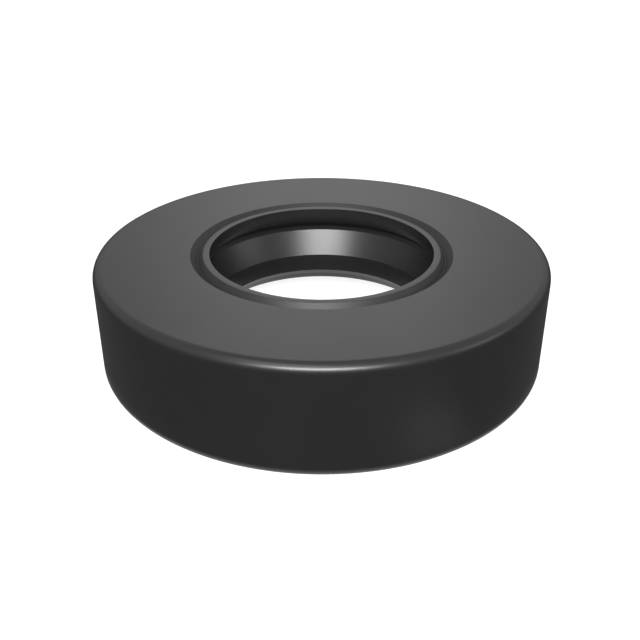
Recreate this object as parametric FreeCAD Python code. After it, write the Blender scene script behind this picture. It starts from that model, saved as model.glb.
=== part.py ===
"""Rotary shaft lip seal, rubber covered, for a 20 mm shaft in a 40 mm housing bore, 10 mm wide.

The seal is three pieces: a moulded rubber body with a sealing lip and a dust lip, the pressed steel
case that the rubber is bonded round, and the garter spring that closes the sealing lip on the shaft.
Lengths are millimetres and angles are degrees. The Z axis is the shaft's axis. The origin is the
centre of the foot, the face that looks at the oil, and +Z points to the air side.
Outlines are half sections in (radius, height), and each corner carries its own rounding.
"""
import FreeCAD, Part
import math
import os

# The three sizes by which such a seal is named
SHAFT_DIAMETER = 20.0
HOUSING_BORE = 40.0
WIDTH = 10.0

# Outside of the moulding
PRESS_ALLOWANCE = 0.30      # rubber outside diameter over the housing bore
BACK_EDGE_ROUND = 0.8
FOOT_EDGE_ROUND = 1.1       # leads the seal into its bore
FOOT_INNER_ROUND = 0.3

# Pressed steel case and the rubber that covers it
SHEET = 1.0
BEND_INSIDE_ROUND = 0.8
SIDE_COVER = 1.2
BACK_COVER = 1.0
FOOT_COVER = 0.9
HEEL_WALL = 2.1             # rubber between the flange's inner edge and the pocket
BOND_LAP = 1.3              # rubber carried out under the flange

# Dust lip, cut free from the back face by a V groove
DUST_LIP_GAP = 0.025        # radial, to the shaft
DUST_RIM = 0.6
GROOVE_DEPTH = 0.64
GROOVE_INNER_RUN = 0.455
GROOVE_OUTER_RUN = 0.655
BEAD_DEPTH = 2.07           # back face to the bead's underside
BEAD_ROUND = 1.25
POCKET_STEP = 1.295         # the pocket's wall, outward from the dust lip

# Sealing lip
LIP_GRIP = 0.15             # radial, smaller than the shaft
LIP_BAND = 0.2              # flat of the trimmed edge
LIP_HEIGHT = 3.18           # foot to the middle of the band
TRIM_ANGLE = 12.2
TRIM_RISE = 1.62
AIR_ANGLE = 25.5
OIL_ANGLE = 42.7
TOE_DROP = 0.92             # band to the lip's lowest point
NECK_WALL = 1.25

# Garter spring and its seat round the lip
SPRING_DIAMETER = 1.6
SPRING_OFFSET = 0.42        # towards the air side from the lip's edge
LIP_UNDER_SPRING = 1.35
SEAT_GAP = 0.06             # seat radius over the spring's
NIB_WALL = 0.45
NIB_REACH = 0.62            # past the coil's middle
NIB_ROUND = 0.2
SHOULDER_WALL = 0.35
SHOULDER_REACH = 0.42
SHOULDER_ROUND = 0.25
WAIST_RISE = 0.45
WAIST_ROUND = 0.5
ROOT_DROP = 0.7             # flange to the top of the neck
ROOT_ROUND = 0.8

# Places that follow from the sizes above
OUTER_RADIUS = (HOUSING_BORE + PRESS_ALLOWANCE) / 2
CASE_OUTER_RADIUS = OUTER_RADIUS - SIDE_COVER
CASE_INNER_RADIUS = CASE_OUTER_RADIUS - SHEET
FLANGE_TOP = WIDTH - BACK_COVER
FLANGE_UNDERSIDE = FLANGE_TOP - SHEET
DUST_LIP_RADIUS = SHAFT_DIAMETER / 2 + DUST_LIP_GAP
POCKET_RADIUS = DUST_LIP_RADIUS + POCKET_STEP
FLANGE_INNER_RADIUS = POCKET_RADIUS + HEEL_WALL
LIP_RADIUS = SHAFT_DIAMETER / 2 - LIP_GRIP
BAND_TOP = LIP_HEIGHT + LIP_BAND / 2
BAND_BOTTOM = LIP_HEIGHT - LIP_BAND / 2
SPRING_RADIUS = SPRING_DIAMETER / 2
SPRING_HEIGHT = LIP_HEIGHT + SPRING_OFFSET
COIL_RADIUS = LIP_RADIUS + LIP_UNDER_SPRING + SPRING_RADIUS


def run(rise, angle):
    """Radial run of a cone that leans by angle from the axis over a rise."""
    return rise * math.tan(math.radians(angle))


def rounded_outline(corners):
    """Closed wire through (radius, height, rounding) corners, each rounded by a tangent arc.

    Where two neighbouring arcs want more than the run between them, both shrink to share it.
    """
    points = [FreeCAD.Vector(radius, 0, height) for radius, height, _ in corners]
    following = points[1:] + points[:1]
    runs = [after - point for point, after in zip(points, following)]
    halves = [(math.pi - runs[i - 1].getAngle(run)) / 2 for i, run in enumerate(runs)]
    wanted = [corner[2] / math.tan(half) for corner, half in zip(corners, halves)]
    shared = [reach + after for reach, after in zip(wanted, wanted[1:] + wanted[:1])]
    room = [run.Length / max(run.Length, both) for run, both in zip(runs, shared)]
    arcs = [
        tangent_arc(point, runs[i - 1], runs[i], wanted[i] * min(room[i - 1], room[i]), halves[i])
        for i, point in enumerate(points)
    ]
    edges = []
    for i, (start, middle, end) in enumerate(arcs):
        previous_end = arcs[i - 1][2]
        if not start.isEqual(previous_end, Part.Precision.confusion()):
            edges.append(Part.LineSegment(previous_end, start).toShape())
        if not start.isEqual(end, Part.Precision.confusion()):
            edges.append(Part.Arc(start, middle, end).toShape())
    return Part.Wire(edges)


def tangent_arc(corner, run_in, run_out, reach, half):
    """Start, middle and end of the arc that leaves each run at the given reach from their corner."""
    back = FreeCAD.Vector(run_in).normalize() * -1
    ahead = FreeCAD.Vector(run_out).normalize()
    rounding = reach * math.tan(half)
    middle = (back + ahead).normalize() * (rounding / math.sin(half) - rounding)
    return corner + back * reach, corner + middle, corner + ahead * reach


def ring(corners):
    """Solid of revolution round the shaft's axis."""
    section = Part.Face(rounded_outline(corners))
    return section.revolve(FreeCAD.Vector(0, 0, 0), FreeCAD.Vector(0, 0, 1), 360)


def bond_line():
    """Corners where rubber and steel meet, from the case's open end round to the flange's underside."""
    return [
        (CASE_INNER_RADIUS, FOOT_COVER, 0),
        (CASE_OUTER_RADIUS, FOOT_COVER, 0),
        (CASE_OUTER_RADIUS, FLANGE_TOP, BEND_INSIDE_ROUND + SHEET),
        (FLANGE_INNER_RADIUS, FLANGE_TOP, 0),
        (FLANGE_INNER_RADIUS, FLANGE_UNDERSIDE, 0),
    ]


def metal_case():
    """L-shaped ring pressed from sheet: a cylinder with a flange turned in at the back."""
    inside_bend = [(CASE_INNER_RADIUS, FLANGE_UNDERSIDE, BEND_INSIDE_ROUND)]
    return ring(bond_line() + inside_bend)


def outside_corners():
    """Foot, outside diameter and back face, from the foot's inner edge to the V groove."""
    return [
        (CASE_INNER_RADIUS, 0, FOOT_INNER_ROUND),
        (OUTER_RADIUS, 0, FOOT_EDGE_ROUND),
        (OUTER_RADIUS, WIDTH, BACK_EDGE_ROUND),
    ]


def dust_lip_corners():
    """V groove, flat rim and rounded bead of the dust lip, down to the pocket behind it."""
    rim_outer = DUST_LIP_RADIUS + DUST_RIM
    groove_floor = rim_outer + GROOVE_INNER_RUN
    return [
        (groove_floor + GROOVE_OUTER_RUN, WIDTH, 0),
        (groove_floor, WIDTH - GROOVE_DEPTH, 0),
        (rim_outer, WIDTH, 0),
        (DUST_LIP_RADIUS, WIDTH, 0),
        (DUST_LIP_RADIUS, WIDTH - BEAD_DEPTH, BEAD_ROUND),
        (POCKET_RADIUS, WIDTH - BEAD_DEPTH, 0),
    ]


def knee():
    """Corner of the bore where the trimmed cone meets the wider air side cone."""
    return LIP_RADIUS + run(TRIM_RISE, TRIM_ANGLE), BAND_TOP + TRIM_RISE


def sealing_lip_corners():
    """Air side cone, trimmed cone, sealing edge and oil side cone, down to the lip's toe."""
    knee_radius, knee_height = knee()
    pocket_drop = (POCKET_RADIUS - knee_radius) / math.tan(math.radians(AIR_ANGLE))
    return [
        (POCKET_RADIUS, knee_height + pocket_drop, 0),
        (knee_radius, knee_height, 0),
        (LIP_RADIUS, BAND_TOP, 0),
        (LIP_RADIUS, BAND_BOTTOM, 0),
        (LIP_RADIUS + run(TOE_DROP, OIL_ANGLE), BAND_BOTTOM - TOE_DROP, 0),
    ]


def neck_radius(height):
    """Outside of the lip's neck, one wall away from the air side cone."""
    knee_radius, knee_height = knee()
    wall_run = NECK_WALL / math.cos(math.radians(AIR_ANGLE))
    return knee_radius + run(height - knee_height, AIR_ANGLE) + wall_run


def lip_back_corners():
    """Chamber side of the lip: nib, shoulder over the spring, waist, neck and root."""
    seat_radius = SPRING_RADIUS + SEAT_GAP
    shoulder_height = SPRING_HEIGHT + seat_radius + SHOULDER_WALL
    waist_height = shoulder_height + WAIST_RISE
    neck_top = FLANGE_UNDERSIDE - ROOT_DROP
    return [
        (COIL_RADIUS + NIB_REACH, SPRING_HEIGHT - seat_radius - NIB_WALL, NIB_ROUND),
        (COIL_RADIUS + SHOULDER_REACH, shoulder_height, SHOULDER_ROUND),
        (neck_radius(waist_height), waist_height, WAIST_ROUND),
        (neck_radius(neck_top), neck_top, ROOT_ROUND),
        (FLANGE_INNER_RADIUS + BOND_LAP, FLANGE_UNDERSIDE, 0),
    ]


def spring_seat():
    """Torus that hollows the seat, touching the spring along the seat's floor."""
    seat = Part.makeTorus(COIL_RADIUS + SEAT_GAP, SPRING_RADIUS + SEAT_GAP)
    seat.translate(FreeCAD.Vector(0, 0, SPRING_HEIGHT))
    return seat


def seal_body():
    """The rubber moulding, whose section wraps the case and ends in both lips."""
    lips = dust_lip_corners() + sealing_lip_corners() + lip_back_corners()
    bond = list(reversed(bond_line()))
    return ring(outside_corners() + lips + bond).cut(spring_seat())


def garter_spring():
    """Envelope of the close-wound coil, joined end to end round the lip."""
    spring = Part.makeTorus(COIL_RADIUS, SPRING_RADIUS)
    spring.translate(FreeCAD.Vector(0, 0, SPRING_HEIGHT))
    return spring


PIECES = {
    "seal_body": seal_body,
    "metal_case": metal_case,
    "garter_spring": garter_spring,
}

os.makedirs("parts", exist_ok=True)
for name, build in PIECES.items():
    piece = build()
    piece.exportStep("parts/" + name + ".step")
    print(name, "solids", len(piece.Solids), "valid", piece.isValid(), "volume", round(piece.Volume, 2))
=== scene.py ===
import bmesh
import bpy
import math
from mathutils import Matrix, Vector


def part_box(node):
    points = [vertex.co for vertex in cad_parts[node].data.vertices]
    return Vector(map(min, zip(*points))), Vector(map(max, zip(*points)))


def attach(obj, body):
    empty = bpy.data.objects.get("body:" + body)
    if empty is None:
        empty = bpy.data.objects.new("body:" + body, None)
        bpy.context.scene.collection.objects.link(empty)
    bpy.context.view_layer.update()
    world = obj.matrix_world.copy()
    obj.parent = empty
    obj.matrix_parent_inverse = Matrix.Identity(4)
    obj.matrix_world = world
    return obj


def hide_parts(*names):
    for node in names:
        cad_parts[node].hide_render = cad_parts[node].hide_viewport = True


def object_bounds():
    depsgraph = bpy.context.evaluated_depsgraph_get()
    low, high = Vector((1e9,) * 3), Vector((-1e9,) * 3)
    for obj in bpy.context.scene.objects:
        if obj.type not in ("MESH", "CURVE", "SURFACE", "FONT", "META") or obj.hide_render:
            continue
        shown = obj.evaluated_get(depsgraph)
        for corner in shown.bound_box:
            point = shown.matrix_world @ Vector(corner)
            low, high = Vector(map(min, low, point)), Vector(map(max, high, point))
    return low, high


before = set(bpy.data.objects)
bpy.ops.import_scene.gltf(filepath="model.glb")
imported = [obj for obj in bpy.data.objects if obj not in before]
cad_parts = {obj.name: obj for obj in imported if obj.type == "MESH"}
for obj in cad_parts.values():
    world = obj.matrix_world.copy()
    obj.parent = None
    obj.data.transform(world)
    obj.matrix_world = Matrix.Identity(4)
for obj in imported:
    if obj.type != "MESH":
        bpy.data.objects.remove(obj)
cad_low, cad_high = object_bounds()

# Steel case: an L-shaped ring deep drawn from mild steel sheet and phosphated, so that rubber bonds to it.
# Rubber covers its outside and its back. The inner wall and the flange's underside are bare.


def add_node(tree, kind, **settings):
    """Node of a kind with its properties set, and its inputs set or linked by name."""
    node = tree.nodes.new(kind)
    inputs = settings.pop("inputs", {})
    for name, value in settings.items():
        setattr(node, name, value)
    for name, value in inputs.items():
        if isinstance(value, bpy.types.NodeSocket):
            tree.links.new(value, node.inputs[name])
        else:
            node.inputs[name].default_value = value
    return node


def new_group(name, inputs, outputs):
    """Empty shader group with float inputs and outputs, and its two end nodes."""
    tree = bpy.data.node_groups.new(name, "ShaderNodeTree")
    for socket, value in inputs.items():
        made = tree.interface.new_socket(socket, in_out="INPUT", socket_type="NodeSocketFloat")
        made.default_value = value
    for socket in outputs:
        tree.interface.new_socket(socket, in_out="OUTPUT", socket_type="NodeSocketFloat")
    return tree, tree.nodes.new("NodeGroupInput"), tree.nodes.new("NodeGroupOutput")


def noise_at(tree, scale, detail, roughness=0.5, place=None):
    """Noise over the piece's own coordinates, in features per metre."""
    place = place or tree.nodes.new("ShaderNodeTexCoord").outputs["Object"]
    inputs = {"Vector": place, "Scale": scale, "Detail": detail, "Roughness": roughness}
    return add_node(tree, "ShaderNodeTexNoise", inputs=inputs)


def build_mottle():
    """Slow, cloudy change of a finish: a value that wanders round 0 by up to Amount."""
    tree, ins, outs = new_group("finish_mottle", {"Scale": 150.0, "Amount": 0.05}, ["Change"])
    noise = noise_at(tree, ins.outputs["Scale"], 4.0, 0.6)
    middle = add_node(tree, "ShaderNodeMath", operation="SUBTRACT", inputs={0: noise.outputs["Fac"], 1: 0.5})
    twice = add_node(tree, "ShaderNodeMath", operation="MULTIPLY", inputs={0: middle.outputs[0], 1: 2.0})
    scaled = add_node(tree, "ShaderNodeMath", operation="MULTIPLY",
                      inputs={0: twice.outputs[0], 1: ins.outputs["Amount"]})
    tree.links.new(scaled.outputs[0], outs.inputs["Change"])
    return tree


finish_mottle = build_mottle()


def place_group(tree, group, **values):
    """A node group placed in a material with its own values."""
    node = tree.nodes.new("ShaderNodeGroup")
    node.node_tree = group
    for name, value in values.items():
        node.inputs[name].default_value = value
    return node


def new_material(name):
    """Material with an empty tree but for its Principled shader and output."""
    material = bpy.data.materials.new(name)
    material.use_nodes = True
    tree = material.node_tree
    return material, tree, tree.nodes["Principled BSDF"]


def wander(tree, level, change):
    """A level with a group's change added."""
    return add_node(tree, "ShaderNodeMath", operation="ADD", inputs={0: change, 1: level}).outputs[0]


def case_steel():
    """Phosphated sheet: grey crystals in patches, and faint draw marks that run along the axis."""
    material, tree, shader = new_material("case_steel")
    crystals = noise_at(tree, 2600.0, 3.0, 0.65)
    coat = add_node(tree, "ShaderNodeValToRGB", inputs={"Fac": crystals.outputs["Fac"]})
    coat.color_ramp.elements[0].position = 0.34
    coat.color_ramp.elements[0].color = (0.3, 0.3, 0.305, 1)
    coat.color_ramp.elements[1].position = 0.68
    coat.color_ramp.elements[1].color = (0.5, 0.5, 0.505, 1)
    tree.links.new(coat.outputs["Color"], shader.inputs["Base Color"])
    mottle = place_group(tree, finish_mottle, Scale=260.0, Amount=0.16)
    tree.links.new(wander(tree, 0.46, mottle.outputs["Change"]), shader.inputs["Roughness"])
    place = tree.nodes.new("ShaderNodeTexCoord").outputs["Object"]
    drawn = add_node(tree, "ShaderNodeVectorMath", operation="MULTIPLY",
                     inputs={0: place, 1: (1.0, 1.0, 0.04)})
    marks = noise_at(tree, 5200.0, 2.0, 0.5, drawn.outputs[0])
    bump = add_node(tree, "ShaderNodeBump", inputs={"Height": marks.outputs["Fac"],
                                                    "Strength": 0.25, "Distance": 0.00002})
    tree.links.new(bump.outputs["Normal"], shader.inputs["Normal"])
    shader.inputs["Metallic"].default_value = 0.85
    return material


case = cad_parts["metal_case"]
case.material_slots[0].material = case_steel()
case_outer_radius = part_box("metal_case")[1].x
case_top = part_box("metal_case")[1].z
case_open_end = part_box("metal_case")[0].z


# Seal body: one moulding of black nitrile rubber, bonded round the case in the mould.
# The sealing edge and the dust lip's rim are trimmed sharp, and every other edge is slightly rounded.
# Heights are over the foot, and radii are from the shaft's axis.
outer_radius = cad_high.x
width = cad_high.z
sheet = 0.001
bend_inside_round = 0.0008
case_inner_radius = case_outer_radius - sheet
flange_underside = case_top - sheet
foot_inner_round = 0.0003
foot_edge_round = 0.0011
back_edge_round = 0.0008
trimmed_round = 0.00004
ledge_round = 0.00008

dust_lip_radius = 0.010025
dust_rim = 0.0006
groove_inner_run = 0.000455
groove_outer_run = 0.000655
groove_depth = 0.00064
bead_depth = 0.00207
bead_round = 0.00125
pocket_step = 0.001295
pocket_radius = dust_lip_radius + pocket_step
heel_wall = 0.0021
flange_inner_radius = pocket_radius + heel_wall
rim_outer = dust_lip_radius + dust_rim
groove_floor = rim_outer + groove_inner_run
groove_edge = groove_floor + groove_outer_run

lip_radius = 0.00985
lip_height = 0.003355
knee_height = 0.0049
trimmed_rise = 0.00162
knee_radius = lip_radius + trimmed_rise * math.tan(math.radians(12.2))
air_angle = math.radians(25.5)
air_slope = math.tan(air_angle)
pocket_bottom = knee_height + (pocket_radius - knee_radius) / air_slope
bevel_height = 0.002712
bevel_radius = lip_radius + lip_height - bevel_height
toe_height = 0.00207
toe_slope = math.tan(math.radians(33))
toe_radius = bevel_radius + (bevel_height - toe_height) * toe_slope

spring_low, spring_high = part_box("garter_spring")
spring_radius = (spring_high.z - spring_low.z) / 2
spring_height = (spring_high.z + spring_low.z) / 2
coil_radius = spring_high.x - spring_radius
seat_gap = 0.00006
seat_radius = spring_radius + seat_gap
seat_centre = (coil_radius + seat_gap, spring_height)
nib_reach = 0.00062
nib_wall = 0.00045
nib_round = 0.0002
nib_edge_reach = 0.00055
shoulder_reach = 0.00042
shoulder_wall = 0.00035
shoulder_round = 0.00025
shoulder_edge_reach = 0.00046
waist_rise = 0.00045
waist_round = 0.0005
neck_wall = 0.00125 / math.cos(air_angle)
root_drop = 0.0007
root_round = 0.0008
bond_lap = 0.0013


def neck_radius(height):
    """Outside of the neck, one wall away from the air side cone."""
    return knee_radius + (height - knee_height) * air_slope + neck_wall


def seat_rise(reach):
    """Height of the seat's circle over its middle, at a reach outward from the coil's middle line."""
    return seat_radius * math.sin(math.acos((reach - seat_gap) / seat_radius))


nib = (coil_radius + nib_reach, spring_height - seat_radius - nib_wall)
nib_edge = (coil_radius + nib_edge_reach, spring_height - seat_rise(nib_edge_reach))
shoulder = (coil_radius + shoulder_reach, spring_height + seat_radius + shoulder_wall)
shoulder_edge = (coil_radius + shoulder_edge_reach, spring_height + seat_rise(shoulder_edge_reach))
waist_height = shoulder[1] + waist_rise
neck_top = flange_underside - root_drop


def rounded(corners, turn_step=math.radians(12)):
    """Closed outline through (radius, height, rounding) corners, each rounding an arc of short steps."""
    outline = []
    for i, (radius, height, rounding) in enumerate(corners):
        corner = Vector((radius, height))
        back = (Vector(corners[i - 1][:2]) - corner).normalized()
        ahead = (Vector(corners[(i + 1) % len(corners)][:2]) - corner).normalized()
        half = back.angle(ahead) / 2
        if rounding == 0:
            outline.append(corner)
            continue
        centre = corner + (back + ahead).normalized() * (rounding / math.sin(half))
        first = corner + back * (rounding / math.tan(half)) - centre
        turn = math.pi - 2 * half
        side = 1 if first.cross(corner - centre) > 0 else -1
        steps = max(3, round(turn / turn_step))
        for step in range(steps + 1):
            angle = side * turn * step / steps
            spoke = Vector((first.x * math.cos(angle) - first.y * math.sin(angle),
                            first.x * math.sin(angle) + first.y * math.cos(angle)))
            outline.append(centre + spoke)
    return outline


def seat_arc(start, end, steps=28):
    """Points of the spring seat between its two edges, by way of its floor."""
    centre = Vector(seat_centre)
    first = math.atan2(start[1] - centre.y, start[0] - centre.x)
    last = math.atan2(end[1] - centre.y, end[0] - centre.x)
    sweep = last - first - 2 * math.pi if last > first else last - first
    angles = [first + sweep * step / steps for step in range(1, steps)]
    return [(centre.x + seat_radius * math.cos(a), centre.y + seat_radius * math.sin(a), 0) for a in angles]


def lathe(name, outline, segments):
    """Ring of quads that turns a closed outline once round the Z axis."""
    mesh = bpy.data.meshes.new(name)
    bm = bmesh.new()
    rows = []
    for step in range(segments):
        angle = 2 * math.pi * step / segments
        rows.append([bm.verts.new((p[0] * math.cos(angle), p[0] * math.sin(angle), p[1])) for p in outline])
    for row, following in zip(rows, rows[1:] + rows[:1]):
        for i in range(len(outline)):
            bm.faces.new((row[i - 1], following[i - 1], following[i], row[i]))
    bmesh.ops.recalc_face_normals(bm, faces=bm.faces)
    for face in bm.faces:
        face.smooth = True
    bm.to_mesh(mesh)
    bm.free()
    piece = bpy.data.objects.new(name, mesh)
    bpy.context.scene.collection.objects.link(piece)
    weighted = piece.modifiers.new("flats_stay_flat", "WEIGHTED_NORMAL")
    weighted.keep_sharp = False
    return piece


body_corners = [
    (case_inner_radius, 0, foot_inner_round),
    (outer_radius, 0, foot_edge_round),
    (outer_radius, width, back_edge_round),
    (groove_edge, width, ledge_round),
    (groove_floor, width - groove_depth, trimmed_round),
    (rim_outer, width, trimmed_round),
    (dust_lip_radius, width, trimmed_round),
    (dust_lip_radius, width - bead_depth, bead_round),
    (pocket_radius, width - bead_depth, trimmed_round),
    (pocket_radius, pocket_bottom, ledge_round),
    (knee_radius, knee_height, ledge_round),
    (lip_radius, lip_height, trimmed_round),
    (bevel_radius, bevel_height, ledge_round),
    (toe_radius, toe_height, trimmed_round),
    (*nib, nib_round),
    (*nib_edge, 0),
    *seat_arc(nib_edge, shoulder_edge),
    (*shoulder_edge, 0),
    (*shoulder, shoulder_round),
    (neck_radius(waist_height), waist_height, waist_round),
    (neck_radius(neck_top), neck_top, root_round),
    (flange_inner_radius + bond_lap, flange_underside, 0),
    (flange_inner_radius, flange_underside, 0),
    (flange_inner_radius, case_top, 0),
    (case_outer_radius, case_top, bend_inside_round + sheet),
    (case_outer_radius, case_open_end, 0),
    (case_inner_radius, case_open_end, 0),
]
body = lathe("rubber_body", rounded(body_corners), segments=288)


def black_rubber():
    """Satin moulded rubber with a fine skin, duller in the V groove and smoother on the cut cone."""
    material, tree, shader = new_material("black_rubber")
    place = tree.nodes.new("ShaderNodeTexCoord").outputs["Object"]
    level = add_node(tree, "ShaderNodeVectorMath", operation="MULTIPLY",
                     inputs={0: place, 1: (1.0, 1.0, 0.0)})
    reach = add_node(tree, "ShaderNodeVectorMath", operation="LENGTH", inputs={0: level.outputs[0]})
    height = add_node(tree, "ShaderNodeSeparateXYZ", inputs={"Vector": place})
    mottle = place_group(tree, finish_mottle, Scale=140.0, Amount=0.025)
    gloss = wander(tree, 0.33, mottle.outputs["Change"])
    groove = (0.17, rim_outer, groove_edge, width - groove_depth * 1.02, width * 0.998)
    cut_cone = (-0.13, lip_radius * 0.99, knee_radius, lip_height, knee_height)
    for change, *limits in (groove, cut_cone):
        for i, limit in enumerate(limits):
            value = reach.outputs["Value"] if i < 2 else height.outputs["Z"]
            side = "LESS_THAN" if i % 2 else "GREATER_THAN"
            inside = add_node(tree, "ShaderNodeMath", operation=side, inputs={0: value, 1: limit})
            change = add_node(tree, "ShaderNodeMath", operation="MULTIPLY",
                              inputs={0: inside.outputs[0], 1: change}).outputs[0]
        gloss = add_node(tree, "ShaderNodeMath", operation="ADD", inputs={0: gloss, 1: change}).outputs[0]
    tree.links.new(gloss, shader.inputs["Roughness"])
    bloom = place_group(tree, finish_mottle, Scale=420.0, Amount=1.0)
    tone = add_node(tree, "ShaderNodeMapRange", inputs={"Value": bloom.outputs["Change"], "From Min": -1.0})
    colour = add_node(tree, "ShaderNodeMix", data_type="RGBA", inputs={"Factor": tone.outputs["Result"]})
    colour.inputs["A"].default_value = (0.011, 0.011, 0.011, 1)
    colour.inputs["B"].default_value = (0.0145, 0.0145, 0.0145, 1)
    skin = noise_at(tree, 6500.0, 3.0, 0.6)
    bump = add_node(tree, "ShaderNodeBump", inputs={"Height": skin.outputs["Fac"],
                                                    "Strength": 0.12, "Distance": 0.00001})
    tree.links.new(colour.outputs["Result"], shader.inputs["Base Color"])
    tree.links.new(bump.outputs["Normal"], shader.inputs["Normal"])
    shader.inputs["IOR"].default_value = 1.55
    return material


body.data.materials.append(black_rubber())
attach(body, "root")
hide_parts("seal_body")


# Garter spring: hard drawn wire, close wound, its tapered nose screwed into its own open end.
# It lies stretched in the seat and presses the sealing lip on the shaft.
wire = 0.0003
pitch = wire * 1.01
winding_radius = spring_radius - wire / 2
turns = round(2 * math.pi * coil_radius / pitch)
nose_turns = 5
nose_taper_turns = 1.5
nose_drop = wire * 1.05
points_per_turn = 20
wire_sides = 7


def coil_point(turn):
    """Middle of the wire after a number of turns; the nose's turns close up inside the first ones."""
    past = max(0.0, turn - turns)
    radius = winding_radius - nose_drop * min(1.0, past / nose_taper_turns)
    along = 2 * math.pi * turn / turns
    round_coil = 2 * math.pi * turn
    reach = coil_radius + radius * math.cos(round_coil)
    height = spring_height + radius * math.sin(round_coil)
    return Vector((reach * math.cos(along), reach * math.sin(along), height))


def wound_wire():
    """Tube of wire along the coil, closed at both ends."""
    mesh = bpy.data.meshes.new("wound_spring")
    bm = bmesh.new()
    count = (turns + nose_turns) * points_per_turn
    rings = []
    for step in range(count + 1):
        turn = step / points_per_turn
        centre = coil_point(turn)
        ahead = (coil_point(turn + 0.01) - coil_point(turn - 0.01)).normalized()
        along = 2 * math.pi * turn / turns
        middle = Vector((coil_radius * math.cos(along), coil_radius * math.sin(along), spring_height))
        outward = (centre - middle).normalized()
        sideways = ahead.cross(outward).normalized()
        ring = []
        for side in range(wire_sides):
            angle = 2 * math.pi * side / wire_sides
            spoke = outward * math.cos(angle) + sideways * math.sin(angle)
            ring.append(bm.verts.new(centre + spoke * (wire / 2)))
        rings.append(ring)
    for ring, following in zip(rings, rings[1:]):
        for side in range(wire_sides):
            bm.faces.new((ring[side - 1], ring[side], following[side], following[side - 1]))
    bm.faces.new(list(reversed(rings[0])))
    bm.faces.new(rings[-1])
    bmesh.ops.recalc_face_normals(bm, faces=bm.faces)
    for face in bm.faces:
        face.smooth = len(face.verts) == 4
    bm.to_mesh(mesh)
    bm.free()
    piece = bpy.data.objects.new("wound_spring", mesh)
    bpy.context.scene.collection.objects.link(piece)
    return piece


def spring_steel():
    """Drawn wire: bright, with a film of oil that dulls it in patches."""
    material, tree, shader = new_material("spring_steel")
    mottle = place_group(tree, finish_mottle, Scale=520.0, Amount=0.12)
    tree.links.new(wander(tree, 0.3, mottle.outputs["Change"]), shader.inputs["Roughness"])
    film = noise_at(tree, 900.0, 2.0)
    colour = add_node(tree, "ShaderNodeMix", data_type="RGBA", inputs={"Factor": film.outputs["Fac"]})
    colour.inputs["A"].default_value = (0.42, 0.415, 0.4, 1)
    colour.inputs["B"].default_value = (0.6, 0.595, 0.58, 1)
    tree.links.new(colour.outputs["Result"], shader.inputs["Base Color"])
    shader.inputs["Metallic"].default_value = 1.0
    return material


spring = wound_wire()
spring.data.materials.append(spring_steel())
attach(spring, "root")
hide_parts("garter_spring")


# Floor: a wide, plain, pale sheet that the seal stands on.
# The camera sees it as white, with the seal's soft shadow kept in it. Reflections see painted light on it:
# dim far out, painted shade under the rubber, and painted light in the hole through the seal, along the foot
# and in a pool at the front right.
floor_reach = 1.5
floor_height = -0.00001
near_reach = outer_radius * 1.5
far_reach = outer_radius * 8
# Where and how wide a painted pool of light lies on the floor, seen only in reflections.
painted_pool_middle = (outer_radius * 0.6, -outer_radius * 1.07, 0)
painted_pool_radius = outer_radius * 0.42
floor_mesh = bpy.data.meshes.new("floor")
floor_corners = [(-floor_reach, -floor_reach, floor_height), (floor_reach, -floor_reach, floor_height),
                 (floor_reach, floor_reach, floor_height), (-floor_reach, floor_reach, floor_height)]
floor_mesh.from_pydata(floor_corners, [], [(0, 1, 2, 3)])
floor = bpy.data.objects.new("floor", floor_mesh)
bpy.context.scene.collection.objects.link(floor)


def seen_as(tree, camera, glossy):
    """A level for rays from the camera or through glass, another for reflections, and nought for the rest."""
    path = tree.nodes.new("ShaderNodeLightPath")
    plain = add_node(tree, "ShaderNodeMath", operation="MAXIMUM",
                     inputs={0: path.outputs["Is Camera Ray"], 1: path.outputs["Is Transmission Ray"]})
    straight = add_node(tree, "ShaderNodeMath", operation="MULTIPLY", inputs={0: plain.outputs[0], 1: camera})
    mirrored = add_node(tree, "ShaderNodeMath", operation="MULTIPLY",
                        inputs={0: path.outputs["Is Glossy Ray"], 1: glossy})
    both = add_node(tree, "ShaderNodeMath", operation="MAXIMUM",
                    inputs={0: straight.outputs[0], 1: mirrored.outputs[0]})
    return both.outputs[0]


def mix_shaders(tree, factor, first, second):
    """The first shader where the factor is nought and the second where it is one."""
    mixed = tree.nodes.new("ShaderNodeMixShader")
    tree.links.new(factor, mixed.inputs[0])
    tree.links.new(first, mixed.inputs[1])
    tree.links.new(second, mixed.inputs[2])
    return mixed.outputs[0]


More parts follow.
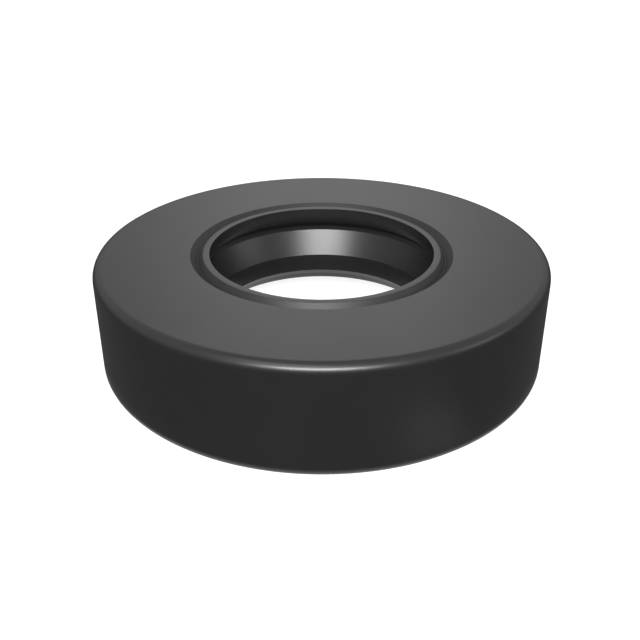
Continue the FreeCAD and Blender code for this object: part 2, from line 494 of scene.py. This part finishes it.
def floor_with_painted_reflections():
    """Pale matt floor that reads as white and keeps a soft shadow, with painted light and shade in its
    reflections; clear from below.
    """
    material = bpy.data.materials.new("pale_floor")
    material.use_nodes = True
    tree = material.node_tree
    tree.nodes.clear()
    path = tree.nodes.new("ShaderNodeLightPath")
    matt = add_node(tree, "ShaderNodeBsdfDiffuse", inputs={"Color": (0.35, 0.35, 0.35, 1)})
    glow = add_node(tree, "ShaderNodeEmission", inputs={"Color": (1, 1, 1, 1)})
    place = tree.nodes.new("ShaderNodeTexCoord").outputs["Object"]
    reach = add_node(tree, "ShaderNodeVectorMath", operation="LENGTH", inputs={0: place})
    whitening = add_node(tree, "ShaderNodeMapRange",
                         inputs={"Value": reach.outputs["Value"], "From Min": near_reach,
                                 "From Max": far_reach, "To Min": 0.9, "To Max": 1.0})
    tree.links.new(seen_as(tree, whitening.outputs["Result"], 0.0), glow.inputs["Strength"])
    white = tree.nodes.new("ShaderNodeAddShader")
    tree.links.new(matt.outputs[0], white.inputs[0])
    tree.links.new(glow.outputs[0], white.inputs[1])
    # Painted reflections: rings round the axis that reflections see as emission, with painted light in the
    # hole and along the foot and painted shade under the rubber.
    share = add_node(tree, "ShaderNodeMath", operation="DIVIDE",
                     inputs={0: reach.outputs["Value"], 1: near_reach})
    painted_reflection_rings = add_node(tree, "ShaderNodeValToRGB", inputs={"Fac": share.outputs[0]})
    stops = painted_reflection_rings.color_ramp.elements
    stops.remove(stops[1])
    stops[0].color = (0.1, 0.1, 0.1, 1)
    painted_light_in_bore = ((0.33, 0.1), (0.353, 0.85), (0.39, 0.85))
    painted_shade_under_rubber = ((0.42, 0.2), (0.48, 0.4), (0.61, 0.4))
    painted_light_along_foot = ((0.63, 0.75), (0.668, 0.75), (0.69, 0.12))
    for position, level in (*painted_light_in_bore, *painted_shade_under_rubber, *painted_light_along_foot):
        stops.new(position).color = (level, level, level, 1)
    # Painted pool of light on the floor at the front right, seen only in reflections.
    from_painted_pool = add_node(tree, "ShaderNodeVectorMath", operation="DISTANCE",
                          inputs={0: place, 1: painted_pool_middle})
    painted_pool_of_light = add_node(tree, "ShaderNodeMapRange",
                     inputs={"Value": from_painted_pool.outputs["Value"], "From Max": painted_pool_radius,
                             "To Min": 0.42, "To Max": 0.0})
    painted_reflection_level = add_node(tree, "ShaderNodeMath", operation="MAXIMUM",
                         inputs={0: painted_reflection_rings.outputs["Color"], 1: painted_pool_of_light.outputs["Result"]})
    # Emission that only reflections see: the painted light and shade on the floor.
    dim = add_node(tree, "ShaderNodeEmission",
                   inputs={"Color": (1, 1, 1, 1), "Strength": painted_reflection_level.outputs[0]})
    from_above = mix_shaders(tree, path.outputs["Is Glossy Ray"], white.outputs[0], dim.outputs[0])
    clear = tree.nodes.new("ShaderNodeBsdfTransparent")
    side = tree.nodes.new("ShaderNodeNewGeometry")
    finish = mix_shaders(tree, side.outputs["Backfacing"], from_above, clear.outputs[0])
    output = tree.nodes.new("ShaderNodeOutputMaterial")
    tree.links.new(finish, output.inputs["Surface"])
    return material


floor_mesh.materials.append(floor_with_painted_reflections())


# Light and camera: an even pale studio, a wide, low key lamp above the camera, and three dim, soft lamps.
# The camera looks down on the seal from the front.
world = bpy.data.worlds.new("studio")
bpy.context.scene.world = world
world.use_nodes = True
sky = world.node_tree
sky.nodes.clear()
direction = add_node(sky, "ShaderNodeSeparateXYZ",
                     inputs={"Vector": sky.nodes.new("ShaderNodeTexCoord").outputs["Generated"]})
wall_to_ceiling = add_node(sky, "ShaderNodeMapRange",
                           inputs={"Value": direction.outputs["Z"], "From Max": 0.35,
                                   "To Min": 0.15, "To Max": 0.57})
seen = seen_as(sky, 1.0, wall_to_ceiling.outputs["Result"])
room = add_node(sky, "ShaderNodeMath", operation="MAXIMUM", inputs={0: seen, 1: 0.2})
studio = add_node(sky, "ShaderNodeBackground", inputs={"Color": (1, 1, 1, 1), "Strength": room.outputs[0]})
sky_output = sky.nodes.new("ShaderNodeOutputWorld")
sky.links.new(studio.outputs[0], sky_output.inputs["Surface"])


def soft_lamp(name, azimuth, elevation, distance, size, power):
    """Oval area lamp aimed at the seal, unseen by the camera."""
    data = bpy.data.lights.new(name, "AREA")
    data.shape = "ELLIPSE"
    data.size, data.size_y = size
    data.energy = power
    lamp = bpy.data.objects.new(name, data)
    level = distance * math.cos(math.radians(elevation))
    lamp.location = Vector((level * math.cos(math.radians(azimuth)), level * math.sin(math.radians(azimuth)),
                            distance * math.sin(math.radians(elevation))))
    lamp.rotation_euler = (-lamp.location).to_track_quat("-Z", "Y").to_euler()
    lamp.visible_camera = False
    bpy.context.scene.collection.objects.link(lamp)


soft_lamp("key_lamp", azimuth=-92.2, elevation=35.6, distance=0.5, size=(0.38, 0.125), power=3.4)
soft_lamp("back_lamp", azimuth=89.5, elevation=33.0, distance=0.8, size=(0.36, 0.44), power=0.29)
soft_lamp("top_lamp", azimuth=-112.0, elevation=64.0, distance=0.8, size=(0.5, 0.36), power=1.0)
soft_lamp("side_lamp", azimuth=-12.0, elevation=20.0, distance=0.8, size=(0.4, 0.3), power=0.36)

camera_data = bpy.data.cameras.new("camera")
camera_data.sensor_width = 36.0
camera_data.lens = 47.56
camera_data.clip_start = 0.001
camera = bpy.data.objects.new("camera", camera_data)
camera.location = (-0.000148, -0.069895, 0.040472)
look_at = Vector((-0.000148, 0, 0.002723))
camera.rotation_euler = (look_at - camera.location).to_track_quat("-Z", "Y").to_euler()
bpy.context.scene.collection.objects.link(camera)
bpy.context.scene.camera = camera
bpy.context.scene.view_settings.view_transform = "Standard"
